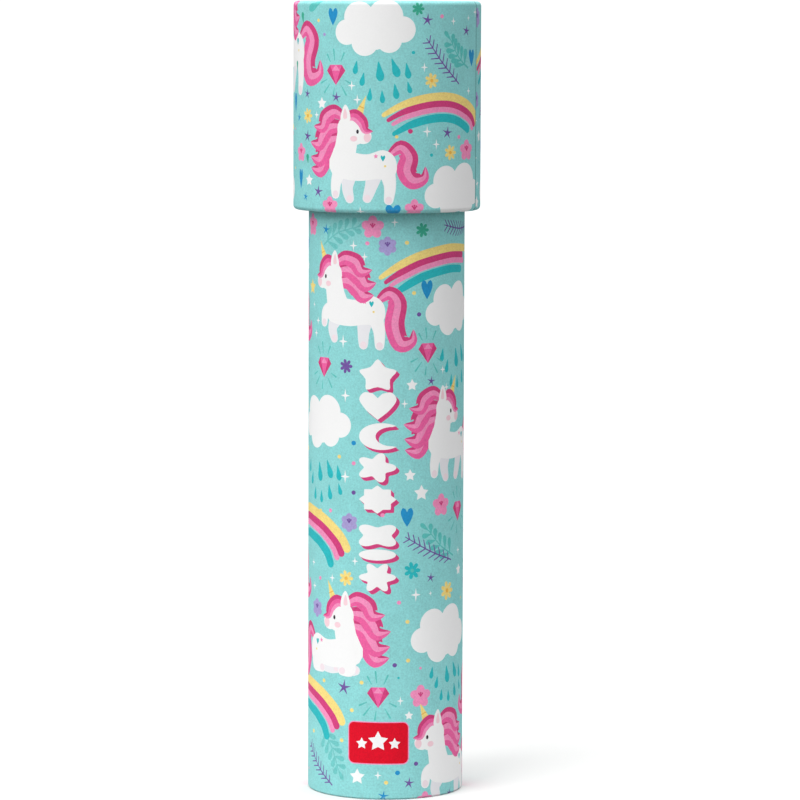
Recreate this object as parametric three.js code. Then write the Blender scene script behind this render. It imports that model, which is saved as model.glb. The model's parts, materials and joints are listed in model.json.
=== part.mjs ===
// A toy kaleidoscope of wrapped cardboard. It stands on its eyepiece end, and its wide head turns on
// the upper end of the barrel and carries the chamber of loose coloured pieces.
// Millimetres, +Z up along the tube, origin at the centre of the base.
import * as THREE from 'three';

// ---- driving dimensions ----
const HEIGHT = 220;
const HEAD_BOTTOM = 162.4;
const TUBE_RADIUS = 21.7;
const HEAD_RADIUS = 26;
const TUBE_TOP = 204; // inside the head

const PAPER = 0.25; // printed paper with its glue
const GLUE_GAP = 0.05; // between a paper wrap and the board under it
const TUBE_WALL = 1.5;
const HEAD_WALL = 1.9;
const CARD = 1.5; // stiff card discs
const RUNNING_GAP = 0.3; // between the turning head and the tube
const STACK_GAP = 0.3; // between pieces that rest on each other
const RIM_RADIUS = 1.2; // the head's outer rim edges
const EDGE_RADIUS = 0.6; // every other edge that the paper turns round
const TUBE_TURN_IN = 5; // height of the paper flange inside the tube
const HEAD_TURN_IN = 4.5; // depth of the paper flanges inside the head

const MIRROR_INRADIUS = 9.5; // from the axis to each mirror's face
const MIRROR_THICKNESS = 1.1;
const MIRROR_WIDTH = 32.3;
const MIRROR_BOTTOM = 9.7;
const MIRROR_TOP = 202.6;
const MASK_OVERLAP = 0.5; // how far the masks' holes stand inside the mirrors' faces

const EYE_HOLE_RADIUS = 5;
const WINDOW = 1; // thickness of a plastic window
const COLLAR = { bottom: 170.4, height: 8 };
const SLEEVE_TOP = 204.7;
const CHAMBER_DEPTH = 9.2; // between its two windows
const PIECE_THICKNESS = 2; // of every loose piece

const SEGMENTS = 48; // round a full circle
const RIM_STEPS = 3; // along a quarter of a rim edge
const EDGE_STEPS = 2; // along a quarter of a small edge
const BOARD_STEPS = [1, 1]; // inner and outer edge of the board under the paper
const TURN = 2 * Math.PI;

// ---- radii and levels that follow from them ----
const TUBE_BOARD = TUBE_RADIUS - PAPER - GLUE_GAP; // outside of the tube's board
const TUBE_BORE = TUBE_BOARD - TUBE_WALL;
const HEAD_BOARD = HEAD_RADIUS - PAPER - GLUE_GAP;
const HEAD_BORE = HEAD_BOARD - HEAD_WALL;
const TUBE_LINING = TUBE_BORE - GLUE_GAP - PAPER; // inside of the turned-in paper
const HEAD_LINING = HEAD_BORE - GLUE_GAP - PAPER;
const INNER_FIT = 0.15; // an inner disc or ring inside its tube
const BARREL_DISC = TUBE_LINING - INNER_FIT;
const LINED_RING = HEAD_LINING - INNER_FIT; // rings beside the head's paper flanges
const BORE_RING = HEAD_BORE - INNER_FIT; // rings against the head's bare board
const RUNNING_BORE = TUBE_RADIUS + RUNNING_GAP;
const MIRROR_BACK = MIRROR_INRADIUS + MIRROR_THICKNESS;

const COLOURS = {
  print: 0x8ad4d0,
  board: 0xb9a88c,
  blackCard: 0x25252a,
  packing: 0xc8b493,
  mirror: 0xe4e8ea,
  clear: 0xeaf4f6,
  frosted: 0xf4f6f7,
  pink: 0xf05a9b,
  yellow: 0xf8d34a,
  blue: 0x3a9be0,
  green: 0x4fc078,
  purple: 0x8a62c8,
  red: 0xe23a3a,
};

function material(colour, roughness, metalness = 0, opacity = 1) {
  return new THREE.MeshStandardMaterial({
    color: COLOURS[colour], roughness, metalness, opacity, transparent: opacity < 1,
  });
}

const MATERIALS = {
  print: material('print', 0.8),
  board: material('board', 0.9),
  blackCard: material('blackCard', 0.85),
  packing: material('packing', 0.95),
  mirror: material('mirror', 0.03, 1),
  clear: material('clear', 0.05, 0, 0.3),
  frosted: material('frosted', 0.6, 0, 0.6),
};

function named(name, geometry, finish) {
  const mesh = new THREE.Mesh(geometry, finish);
  mesh.name = name;
  return mesh;
}

// ---- solids of revolution ----

// Points of an arc in the (radius, z) plane, from one angle in degrees to another, both included.
function arc(centreRadius, centreZ, radius, fromDegrees, toDegrees, steps) {
  return Array.from({ length: steps + 1 }, (_, step) => {
    const angle = THREE.MathUtils.degToRad(fromDegrees + ((toDegrees - fromDegrees) * step) / steps);
    return [centreRadius + radius * Math.cos(angle), centreZ + radius * Math.sin(angle)];
  });
}

// Turns a counter-clockwise outline in the (radius, z) plane about the Z axis.
function turned(outline) {
  const points = outline.map(([radius, z]) => new THREE.Vector2(radius, z));
  return new THREE.LatheGeometry(points, SEGMENTS).rotateX(Math.PI / 2);
}

function disc(radius, bottom, thickness) {
  const top = bottom + thickness;
  return turned([[0, bottom], [radius, bottom], [radius, top], [0, top]]);
}

// A ring of rectangular section with chamfered outer edges.
function ring(inner, outer, bottom, top, chamfer = 0.2) {
  return turned([
    [inner, bottom], [outer - chamfer, bottom], [outer, bottom + chamfer],
    [outer, top - chamfer], [outer - chamfer, top], [inner, top], [inner, bottom],
  ]);
}

// The outline of a tube's lower edge from its inside face round to its outside one, with both edges
// rounded. inset is how deep the outline lies below the paper's own surface.
function lowerEdge(lining, outside, bottom, outerRadius, inset, [innerSteps, outerSteps]) {
  return [
    ...arc(lining + EDGE_RADIUS, bottom + EDGE_RADIUS, EDGE_RADIUS - inset, 180, 270, innerSteps),
    ...arc(outside - outerRadius, bottom + outerRadius, outerRadius - inset, 270, 360, outerSteps),
  ];
}

// The same edge upside down, from the outside face round to the inside one.
function upperEdge(lining, outside, top, outerRadius, inset, steps) {
  return lowerEdge(lining, outside, -top, outerRadius, inset, steps)
    .map(([radius, z]) => [radius, -z])
    .reverse();
}

const closed = (outline) => [...outline, outline[0]];

// ---- barrel ----

const tubeEdge = (inset, steps = [EDGE_STEPS, EDGE_STEPS]) =>
  lowerEdge(TUBE_LINING, TUBE_RADIUS, 0, EDGE_RADIUS, inset, steps);

function mainTube() {
  const edge = tubeEdge(PAPER + GLUE_GAP, BOARD_STEPS);
  const outline = [...edge, [TUBE_BOARD, TUBE_TOP], [TUBE_BORE, TUBE_TOP]];
  return named('main_tube', turned(closed(outline)), MATERIALS.board);
}

function tubeWrap() {
  const top = TUBE_TOP - STACK_GAP;
  const outline = [
    [TUBE_LINING, TUBE_TURN_IN], ...tubeEdge(0), [TUBE_RADIUS, top],
    [TUBE_RADIUS - PAPER, top], ...tubeEdge(PAPER).reverse(), [TUBE_LINING + PAPER, TUBE_TURN_IN],
  ];
  return named('tube_wrap', turned(closed(outline)), MATERIALS.print);
}

// The eye disc, its window, the ring behind it and the lower mask, stacked up from the eye end.
function eyepiece() {
  const discBottom = 2.2;
  const windowThickness = 0.5;
  const ringHeight = 3;
  const ringWall = 2;
  const windowBottom = discBottom + CARD + STACK_GAP;
  const ringBottom = windowBottom + windowThickness + STACK_GAP;
  const ringTop = ringBottom + ringHeight;
  return [
    named('eyepiece_disc', ring(EYE_HOLE_RADIUS, BARREL_DISC, discBottom, discBottom + CARD),
      MATERIALS.blackCard),
    named('eyepiece_window', disc(BARREL_DISC, windowBottom, windowThickness), MATERIALS.clear),
    named('eyepiece_ring', ring(BARREL_DISC - ringWall, BARREL_DISC, ringBottom, ringTop),
      MATERIALS.board),
    prismMask('prism_mask_lower', ringTop + STACK_GAP, CARD),
  ];
}

// A card disc with the triangular hole that the mirrors' clear section looks through.
function prismMask(name, bottom, thickness) {
  const shape = new THREE.Shape().absarc(0, 0, BARREL_DISC, 0, TURN, false);
  const cornerRadius = 2 * (MIRROR_INRADIUS - MASK_OVERLAP);
  const hole = new THREE.Path();
  for (let corner = 0; corner < 3; corner += 1) {
    const angle = mirrorAngle(corner) + Math.PI;
    const point = [cornerRadius * Math.cos(angle), cornerRadius * Math.sin(angle)];
    if (corner === 0) hole.moveTo(...point);
    else hole.lineTo(...point);
  }
  hole.closePath();
  shape.holes.push(hole);
  const geometry = new THREE.ExtrudeGeometry(shape, {
    depth: thickness, bevelEnabled: false, curveSegments: SEGMENTS / 2,
  });
  return named(name, geometry.translate(0, 0, bottom), MATERIALS.blackCard);
}

// The direction from the axis square to one mirror's face. The first mirror lies at the back.
const mirrorAngle = (index) => Math.PI / 2 + (index * TURN) / 3;

function mirrorStrip(index) {
  const length = MIRROR_TOP - MIRROR_BOTTOM;
  const geometry = new THREE.BoxGeometry(MIRROR_THICKNESS, MIRROR_WIDTH, length);
  geometry.translate(MIRROR_INRADIUS + MIRROR_THICKNESS / 2, 0, MIRROR_BOTTOM + length / 2);
  const strip = named(`mirror_strip_${index + 1}`, geometry, MATERIALS.mirror);
  strip.rotation.z = mirrorAngle(index);
  return strip;
}

// Packing of D-shaped section between a mirror's back and the tube's wall.
function packingStrip(index) {
  const slack = 0.4;
  const radius = TUBE_BORE - slack;
  const flat = MIRROR_BACK + STACK_GAP;
  const halfAngle = Math.acos(flat / radius);
  const section = new THREE.Shape();
  section.absarc(0, 0, radius, -halfAngle, halfAngle, false);
  section.closePath();
  const geometry = new THREE.ExtrudeGeometry(section, {
    depth: MIRROR_TOP - MIRROR_BOTTOM, bevelEnabled: false, curveSegments: 6,
  });
  const strip = named(`packing_strip_${index + 1}`, geometry, MATERIALS.packing);
  strip.position.z = MIRROR_BOTTOM;
  strip.rotation.z = mirrorAngle(index);
  return strip;
}

function stopCollar() {
  const glue = 0.1;
  const clearance = 0.5; // to the inside of the turning head
  const inner = TUBE_RADIUS + glue;
  const outer = HEAD_BORE - clearance;
  const geometry = ring(inner, outer, COLLAR.bottom, COLLAR.bottom + COLLAR.height);
  return named('stop_collar', geometry, MATERIALS.board);
}

function barrel() {
  const group = new THREE.Group();
  const upperMask = { bottom: MIRROR_TOP + 0.2, thickness: 0.9 };
  group.add(mainTube(), tubeWrap(), ...eyepiece(), stopCollar());
  for (let index = 0; index < 3; index += 1) group.add(mirrorStrip(index), packingStrip(index));
  group.add(prismMask('prism_mask_upper', upperMask.bottom, upperMask.thickness));
  return group;
}

// ---- head ----

const headLowerEdge = (inset, steps = [EDGE_STEPS, RIM_STEPS]) =>
  lowerEdge(HEAD_LINING, HEAD_RADIUS, HEAD_BOTTOM, RIM_RADIUS, inset, steps);
const headUpperEdge = (inset, steps = [EDGE_STEPS, RIM_STEPS]) =>
  upperEdge(HEAD_LINING, HEAD_RADIUS, HEIGHT, RIM_RADIUS, inset, steps);

function headShell() {
  const inset = PAPER + GLUE_GAP;
  const outline = [...headLowerEdge(inset, BOARD_STEPS), ...headUpperEdge(inset, BOARD_STEPS)];
  return named('head_shell', turned(closed(outline)), MATERIALS.board);
}

function headWrap() {
  const upperFlange = HEIGHT - HEAD_TURN_IN;
  const lowerFlange = HEAD_BOTTOM + HEAD_TURN_IN;
  const outline = [
    [HEAD_LINING, lowerFlange], ...headLowerEdge(0), ...headUpperEdge(0), [HEAD_LINING, upperFlange],
    [HEAD_LINING + PAPER, upperFlange], ...headUpperEdge(PAPER).reverse(),
    ...headLowerEdge(PAPER).reverse(), [HEAD_LINING + PAPER, lowerFlange],
  ];
  return named('head_wrap', turned(closed(outline)), MATERIALS.print);
}

// The two rings that run on the tube, one on each side of the barrel's collar.
function headBearings() {
  const recess = 1.2;
  const collarPlay = 0.8;
  const ringBottom = HEAD_BOTTOM + recess;
  const ringTop = COLLAR.bottom - collarPlay;
  const sleeveBottom = COLLAR.bottom + COLLAR.height + STACK_GAP;
  return [
    named('head_lower_ring', ring(RUNNING_BORE, LINED_RING, ringBottom, ringTop), MATERIALS.board),
    named('head_inner_sleeve', ring(RUNNING_BORE, BORE_RING, sleeveBottom, SLEEVE_TOP),
      MATERIALS.board),
  ];
}

const CHAMBER_FLOOR = SLEEVE_TOP + STACK_GAP + WINDOW; // upper face of the inner window

function chamber() {
  const joint = 0.2; // glue between the stacked pieces
  const ceiling = CHAMBER_FLOOR + CHAMBER_DEPTH;
  const rimRingBottom = ceiling + WINDOW + joint;
  const spacerWall = 1.6;
  const rimRingWall = 1.8;
  const rimRingHeight = 2;
  return [
    named('chamber_inner_window', disc(BORE_RING, CHAMBER_FLOOR - WINDOW, WINDOW), MATERIALS.clear),
    named('chamber_spacer_ring',
      ring(BORE_RING - spacerWall, BORE_RING, CHAMBER_FLOOR + joint, ceiling - joint),
      MATERIALS.board),
    named('chamber_outer_window', disc(LINED_RING, ceiling, WINDOW), MATERIALS.frosted),
    named('front_rim_ring',
      ring(LINED_RING - rimRingWall, LINED_RING, rimRingBottom, rimRingBottom + rimRingHeight),
      MATERIALS.print),
  ];
}

function head() {
  const group = new THREE.Group();
  group.add(headShell(), headWrap(), ...headBearings(), ...chamber());
  return group;
}

// ---- loose pieces in the chamber ----

function starShape(outer = 4.4, inner = 2) {
  const shape = new THREE.Shape();
  for (let corner = 0; corner < 10; corner += 1) {
    const radius = corner % 2 ? inner : outer;
    const angle = (corner * TURN) / 10;
    const point = [radius * Math.cos(angle), radius * Math.sin(angle)];
    if (corner === 0) shape.moveTo(...point);
    else shape.lineTo(...point);
  }
  shape.closePath();
  return shape;
}

function heartShape(size = 3.8) {
  const shape = new THREE.Shape();
  shape.moveTo(0, -size);
  shape.bezierCurveTo(size * 1.3, -size * 0.2, size * 1.2, size, size * 0.5, size);
  shape.quadraticCurveTo(size * 0.1, size, 0, size * 0.5);
  shape.quadraticCurveTo(-size * 0.1, size, -size * 0.5, size);
  shape.bezierCurveTo(-size * 1.2, size, -size * 1.3, -size * 0.2, 0, -size);
  return shape;
}

function polygonShape(sides, radius) {
  const shape = new THREE.Shape();
  for (let corner = 0; corner < sides; corner += 1) {
    const angle = (corner * TURN) / sides;
    const point = [radius * Math.cos(angle), radius * Math.sin(angle)];
    if (corner === 0) shape.moveTo(...point);
    else shape.lineTo(...point);
  }
  shape.closePath();
  return shape;
}

function washerShape(outer = 3.8, inner = 1.9) {
  const shape = new THREE.Shape().absarc(0, 0, outer, 0, TURN, false);
  shape.holes.push(new THREE.Path().absarc(0, 0, inner, 0, TURN, true));
  return shape;
}

// A flat piece with bevelled edges, centred on z = 0.
function flatPiece(shape, curveSegments) {
  const bevel = 0.3;
  const depth = PIECE_THICKNESS - 2 * bevel;
  const geometry = new THREE.ExtrudeGeometry(shape, {
    depth, curveSegments, bevelSize: bevel, bevelThickness: bevel, bevelSegments: 1, bevelOffset: -bevel,
  });
  return geometry.translate(0, 0, -depth / 2);
}

const PIECE_SHAPES = {
  star: () => flatPiece(starShape(), 1),
  heart: () => flatPiece(heartShape(), 4),
  triangle: () => flatPiece(polygonShape(3, 4.4), 1),
  hexagon: () => flatPiece(polygonShape(6, 3.7), 1),
  washer: () => flatPiece(washerShape(), 10),
  rod: () => new THREE.CapsuleGeometry(PIECE_THICKNESS / 2, 7, 3, 10),
  bead: () => new THREE.SphereGeometry(PIECE_THICKNESS / 2, 12, 8),
};

// Each layer of the pile on the chamber's floor: shape, colour, distance from the axis, bearing, turn.
const LAYERS = {
  low: [
    ['star', 'pink', 13.5, 20, 10], ['heart', 'red', 14.5, 92, 40], ['hexagon', 'blue', 13, 160, 0],
    ['rod', 'yellow', 15, 228, 75], ['triangle', 'green', 14, 300, 25], ['washer', 'purple', 3, 70, 0],
  ],
  middle: [
    ['heart', 'pink', 15, 48, 200], ['triangle', 'yellow', 13, 118, 70], ['star', 'blue', 14, 190, 30],
    ['bead', 'red', 9, 250, 0], ['washer', 'green', 15, 275, 0], ['rod', 'purple', 12, 345, 20],
  ],
  high: [
    ['star', 'yellow', 14, 75, 0], ['hexagon', 'pink', 12, 140, 15], ['heart', 'purple', 14, 215, 130],
    ['bead', 'blue', 4, 30, 0], ['rod', 'green', 15, 270, 10], ['triangle', 'red', 14, 330, 50],
  ],
};

function loosePiece(layer, [shape, colour, distance, bearing, spin]) {
  const lift = Object.keys(LAYERS).indexOf(layer);
  const finish = material(colour, 0.25, 0, 0.85);
  const piece = named(`tumble_${layer}_${shape}_${colour}`, PIECE_SHAPES[shape](), finish);
  const angle = THREE.MathUtils.degToRad(bearing);
  piece.position.set(
    distance * Math.cos(angle),
    distance * Math.sin(angle),
    CHAMBER_FLOOR + STACK_GAP + PIECE_THICKNESS / 2 + lift * (PIECE_THICKNESS + STACK_GAP),
  );
  piece.rotation.z = THREE.MathUtils.degToRad(spin);
  return piece;
}

function loosePieces() {
  const group = new THREE.Group();
  for (const [layer, pieces] of Object.entries(LAYERS)) {
    group.add(...pieces.map((piece) => loosePiece(layer, piece)));
  }
  return group;
}

const kaleidoscope = new THREE.Group();
kaleidoscope.add(barrel(), head(), loosePieces());

export default kaleidoscope;
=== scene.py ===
import json
import math
import random

import bpy
import numpy as np
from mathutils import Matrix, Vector
from mathutils.geometry import delaunay_2d_cdt


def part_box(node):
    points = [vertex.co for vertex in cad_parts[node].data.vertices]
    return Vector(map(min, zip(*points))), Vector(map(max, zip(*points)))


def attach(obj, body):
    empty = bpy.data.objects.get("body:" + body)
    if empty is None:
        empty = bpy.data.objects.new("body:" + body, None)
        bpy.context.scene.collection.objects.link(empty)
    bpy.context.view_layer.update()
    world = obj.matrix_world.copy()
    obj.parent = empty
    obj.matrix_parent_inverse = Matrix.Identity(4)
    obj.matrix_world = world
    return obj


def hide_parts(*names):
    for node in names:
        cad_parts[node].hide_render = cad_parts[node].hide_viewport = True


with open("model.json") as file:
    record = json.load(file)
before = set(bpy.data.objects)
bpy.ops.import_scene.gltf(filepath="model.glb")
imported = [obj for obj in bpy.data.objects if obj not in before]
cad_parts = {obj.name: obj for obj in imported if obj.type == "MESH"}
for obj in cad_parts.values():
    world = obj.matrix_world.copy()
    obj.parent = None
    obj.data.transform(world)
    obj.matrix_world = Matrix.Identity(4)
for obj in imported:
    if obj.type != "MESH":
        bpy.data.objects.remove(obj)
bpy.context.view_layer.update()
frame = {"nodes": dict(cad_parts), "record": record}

MM = 0.001
RNG = random.Random(7)

# ---- sizes, in millimetres, from the frame ----


def span_mm(node):
    """A node's lowest and highest corner in millimetres."""
    low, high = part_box(node)
    return [c / MM for c in low], [c / MM for c in high]


TUBE_RADIUS = span_mm("tube_wrap")[1][0]
TUBE_TOP = span_mm("tube_wrap")[1][2]
HEAD_RADIUS = span_mm("head_wrap")[1][0]
HEAD_LOW = span_mm("head_wrap")[0][2]
HEAD_HIGH = span_mm("head_wrap")[1][2]
PAPER = 0.24  # thickness of the printed paper
TUBE_WALL = 2.1  # tube board with its paper on both sides
HEAD_WALL = 2.5  # the same on the head
RIM_RADIUS = 1.2  # the head's outer rim edges
EDGE_RADIUS = 0.6  # every other edge that the paper turns round
TUBE_TURN_IN, HEAD_TURN_IN = 5.0, 4.5  # how far the paper reaches in over an end
TUBE_SEAM, HEAD_SEAM = 180, 69  # bearings of the paper's seams, in degrees

# ---- colours ----

INKS = {
    "teal": "91D8D8", "white": "F7F7F7", "pink": "EE63A2", "rose": "F893C0", "magenta": "D4427F",
    "yellow": "FCDE86", "amber": "EFB84E", "deep": "2CBAC1", "shade": "5FC4BF", "moss": "3FAE92",
    "blue": "2492CB", "purple": "7456A0", "lavender": "AA9FD4", "red": "DE0024", "blush": "F7D3DC",
    # the seam ink is painted shade and shadow along the paper's overlap
    "pearl": "ECECF0", "dark": "2E2A33", "shell": "F3E4EA", "seam": "4F9494", "mist": "70C7C5",
}
CLEAN = {"white", "pearl", "blush", "shell"}  # inks in which the mottle hardly shows


def linear(code):
    """A six-digit sRGB colour code as linear RGBA."""
    parts = [int(code[i:i + 2], 16) / 255 for i in (0, 2, 4)]
    curve = [c / 12.92 if c <= 0.04045 else ((c + 0.055) / 1.055) ** 2.4 for c in parts]
    return (*curve, 1.0)


def toned(colour, factor, lift=0.0):
    """A darker or lighter colour."""
    return tuple(min(1.0, c * factor + lift) for c in colour[:3]) + (1.0,)


def add_object(name, data):
    """Puts a mesh, light or camera into the scene."""
    added = bpy.data.objects.new(name, data)
    bpy.context.scene.collection.objects.link(added)
    return added


def add_mesh(name, places, faces, normals, materials, slots):
    """A smooth mesh with a normal for each corner of each face and a material slot for each face."""
    mesh = bpy.data.meshes.new(name)
    mesh.from_pydata(places, [], faces)
    for material in materials:
        mesh.materials.append(material)
    mesh.polygons.foreach_set("material_index", slots)
    mesh.polygons.foreach_set("use_smooth", [True] * len(faces))
    mesh.normals_split_custom_set([tuple(n) for n in normals])
    return add_object(name, mesh)


# ---- node helpers ----


class Nodes:
    """The node tree of a new material or world, with short calls to add and join nodes."""

    def __init__(self, name, library=bpy.data.materials):
        self.owner = library.new(name)
        self.owner.use_nodes = True
        self.tree = self.owner.node_tree
        self.coordinates = self.add("ShaderNodeTexCoord").outputs

    def feed(self, socket, value):
        """Joins a socket to another node's output, or gives it a plain value."""
        if isinstance(value, bpy.types.NodeSocket):
            self.tree.links.new(value, socket)
        else:
            socket.default_value = value

    def add(self, kind, *values, **settings):
        """A new node. values feed its sockets in order, settings set its sockets or properties by name."""
        node = self.tree.nodes.new(kind)
        for key, value in settings.items():
            title = key.replace("_", " ")
            if title in node.inputs:
                self.feed(node.inputs[title], value)
            else:
                setattr(node, key, value)
        for socket, value in zip(node.inputs, values):
            self.feed(socket, value)
        return node

    def noise(self, scale, detail=2.0, roughness=0.5, stretch=None):
        """Noise with features of about 1/scale metres."""
        place = self.coordinates["Object"]
        if stretch:
            place = self.add("ShaderNodeMapping", Vector=place, Scale=stretch).outputs["Vector"]
        node = self.add("ShaderNodeTexNoise", Vector=place, Scale=scale, Detail=detail, Roughness=roughness)
        return node.outputs["Fac"]

    def ramp(self, value, low, high, bottom=0.0, top=1.0):
        """value from low..high to bottom..top, clamped."""
        node = self.add("ShaderNodeMapRange", value, low, high, bottom, top)
        return node.outputs["Result"]

    def maths(self, operation, a, b=0.0):
        return self.add("ShaderNodeMath", a, b, operation=operation).outputs[0]

    def mix(self, share, colour_a, colour_b):
        node = self.add("ShaderNodeMix", share, data_type="RGBA")
        self.feed(node.inputs[6], colour_a)  # sockets 6 and 7 are the two colours
        self.feed(node.inputs[7], colour_b)
        return node.outputs[2]

    def bump(self, height, distance, strength=1.0, **below):
        node = self.add("ShaderNodeBump", Height=height, Distance=distance, Strength=strength, **below)
        return node.outputs["Normal"]

    def finish(self, colour, roughness, **sockets):
        """Feeds the material's shader and gives the material."""
        shader = self.tree.nodes["Principled BSDF"]
        sockets.update(Base_Color=colour, Roughness=roughness)
        for key, value in sockets.items():
            self.feed(shader.inputs[key.replace("_", " ")], value)
        return self.owner


# ---- materials ----

# noise scales, in features a metre
MOTTLE_SCALE, CLOUDY_SCALE, SHEEN_SCALE, FIBRE_SCALE, WAVE_SCALE, RUB_SCALE = 2100, 260, 600, 2600, 70, 900
RIM_WEAR = 0.22  # how far the rubbed rims fade to bare paper
LAMINATE = 0.17  # specular level of the matte laminate


def wear_mask(nodes):
    """Broken patches close to the head's and tube's rims, where handling rubs the ink."""
    reach = 1.3 * MM
    height = nodes.add("ShaderNodeSeparateXYZ", nodes.coordinates["Object"]).outputs["Z"]
    near = 0.0
    for rim in (0.0, HEAD_LOW * MM, HEAD_HIGH * MM):
        gap = nodes.maths("ABSOLUTE", nodes.maths("SUBTRACT", height, rim))
        near = nodes.maths("MAXIMUM", near, nodes.ramp(gap, 0.0, reach, 1.0, 0.0))
    broken = nodes.ramp(nodes.noise(RUB_SCALE, 4.0, 0.65), 0.52, 0.66)
    return nodes.maths("MULTIPLY", near, broken)


def ink_material(name, code):
    """Matte laminated paper, printed in one ink: mottled tone, fine grain and rubbed rims."""
    nodes = Nodes("ink_" + name)
    base = linear(code)
    depth = 0.95 if name in CLEAN else 0.81
    brightest = (2.0 - depth) * 0.93
    mottle = nodes.ramp(nodes.noise(MOTTLE_SCALE, 3.0, 0.6), 0.3, 0.7)
    cloudy = nodes.ramp(nodes.noise(CLOUDY_SCALE), 0.3, 0.7)
    tone = nodes.maths("ADD", nodes.maths("MULTIPLY", mottle, 0.75), nodes.maths("MULTIPLY", cloudy, 0.25))
    colour = nodes.mix(tone, toned(base, depth), toned(base, brightest))
    worn = nodes.maths("MULTIPLY", wear_mask(nodes), RIM_WEAR)
    colour = nodes.mix(worn, colour, linear("F3F1EC"))
    roughness = nodes.ramp(nodes.noise(SHEEN_SCALE), 0.3, 0.7, 0.52, 0.64)
    fibres = nodes.bump(nodes.noise(FIBRE_SCALE, 3.0, 0.6), 0.02 * MM, 0.5)
    waves = nodes.bump(nodes.noise(WAVE_SCALE, 1.0), 0.12 * MM, 0.4, Normal=fibres)
    return nodes.finish(colour, roughness, Normal=waves, Specular_IOR_Level=LAMINATE)


# ---- flat shapes, in millimetres ----


def turned(points, degrees):
    c, s = math.cos(math.radians(degrees)), math.sin(math.radians(degrees))
    return [(x * c - y * s, x * s + y * c) for x, y in points]


def moved(points, dx, dy):
    return [(x + dx, y + dy) for x, y in points]


def oval(x, y, rx, ry=None, turn=0.0, count=28):
    """An ellipse, or a circle where only rx is given."""
    ry = rx if ry is None else ry
    angles = np.linspace(0, 2 * math.pi, count, endpoint=False)
    return moved(turned([(rx * math.cos(a), ry * math.sin(a)) for a in angles], turn), x, y)


def spiky(points, outer, inner, turn=90.0):
    """A star with this many sharp points."""
    radii = [outer if i % 2 == 0 else inner for i in range(2 * points)]
    angles = [math.pi * i / points for i in range(2 * points)]
    return turned([(r * math.cos(a), r * math.sin(a)) for r, a in zip(radii, angles)], turn)


def through(points, closed=True, steps=5):
    """A smooth Catmull-Rom line through the points."""
    count = len(points)
    curve = []
    for i in range(count if closed else count - 1):
        quad = []
        for k in (i - 1, i, i + 1, i + 2):
            quad.append(points[k % count] if closed else points[min(max(k, 0), count - 1)])
        a, b, c, d = (np.array(p, float) for p in quad)
        for t in np.linspace(0, 1, steps, endpoint=False):
            curve.append(tuple(0.5 * (2 * b + (c - a) * t + (2 * a - 5 * b + 4 * c - d) * t ** 2
                                      + (3 * b - a - 3 * c + d) * t ** 3)))
    return curve if closed else curve + [tuple(points[-1])]


def beside(path, shift):
    """The path moved sideways, to its left where shift is positive."""
    line = np.array(path, float)
    along = np.gradient(line, axis=0)
    along /= np.linalg.norm(along, axis=1)[:, None] + 1e-9
    side = np.stack([-along[:, 1], along[:, 0]], 1)
    return line + side * np.reshape(shift, (-1, 1))


def stroke(points, widths, steps=6, cap=5):
    """A brush stroke along a smooth path: its width runs through widths, and its ends are round."""
    path = np.array(through(points, closed=False, steps=steps))
    where = np.linspace(0, 1, len(path))
    half = np.interp(where, np.linspace(0, 1, len(widths)), widths) / 2
    left, right = beside(path, half), beside(path, -half)
    ends = []
    for tip, before, radius in ((path[-1], path[-2], half[-1]), (path[0], path[1], half[0])):
        heading = math.atan2(*(tip - before)[::-1])
        sweep = np.linspace(heading + math.pi / 2, heading - math.pi / 2, cap + 2)[1:-1]
        ends.append([(tip[0] + radius * math.cos(a), tip[1] + radius * math.sin(a)) for a in sweep])
    return [*map(tuple, left), *ends[0], *map(tuple, right[::-1]), *ends[1]]


def teardrop(length, width, turn=0.0, at=(0.0, 0.0)):
    """A leaf or drop with its tip at the start and its round end at length along turn."""
    half = width / 2
    side = [(0, 0), (0.35 * length, 0.55 * half), (0.72 * length, half), (0.94 * length, 0.62 * half)]
    outline = side + [(length, 0)] + [(x, -y) for x, y in reversed(side[1:])]
    return moved(turned(through(outline, steps=4), turn), *at)


# ---- printed motifs: lists of (ink, outline), lowest first ----


def cloud():
    lobes = [(0, -0.4, 6.0), (-8.0, -1.4, 3.6), (-4.3, 2.8, 4.5), (3.4, 3.0, 5.0), (8.3, -0.6, 3.7),
             (4.4, -3.6, 3.6), (-2.6, -4.2, 3.9)]
    return [("white", oval(x, y, radius, count=36)) for x, y, radius in lobes]


def rain():
    """Nine drops that fan out as they fall: (x, y, length, lean) of each."""
    drops = [(-5.6, 4.4, 3.7, -9), (-3.6, 1.2, 3.7, -10), (0.4, 4.2, 5.4, 7), (4.0, 5.0, 5.3, 20),
             (8.0, 3.8, 4.3, 10), (-1.8, -3.0, 3.5, -4), (1.4, -3.6, 3.5, 3), (4.8, -1.8, 4.2, 9),
             (8.4, -1.2, 3.3, 14)]
    return [("deep", teardrop(length, 0.42 * length, 270 + lean, (x, y))) for x, y, length, lean in drops]


def rain_cloud():
    """A cloud with its rain below."""
    return cloud() + [(ink, moved(outline, 2.5, -14.5)) for ink, outline in rain()]


# a rainbow's path from left to right, and how many points each of its bands leaves out at the right
ARCH = [(-16.2, 0.2), (-11.6, 2.7), (-5.4, 4.6), (1.8, 5.2), (8.4, 3.9), (14.2, 0.8), (16.4, -2.6)]
ARCH_ENDS = (1, 0, 0, 3)
RISE = [(-16.6, -4.4), (-12.4, -1.6), (-6.6, 1.2), (0, 2.8), (6.6, 3.4), (15.8, 2.8)]
FALL = [(-20, 4.0), (-11, 6.0), (-2, 4.4), (3.4, 1.4), (6.6, -1.8), (8.4, -5.4)]
FALL_ENDS = (1, 1, 4, 0)
# its bands: ink, distance below the path, width, and points left out at the left
BANDS = [("rose", 3.3, 0.9, 2), ("magenta", 1.75, 1.0, 1), ("yellow", -0.1, 1.12, 0),
         ("deep", 5.75, 1.15, 0)]


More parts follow.
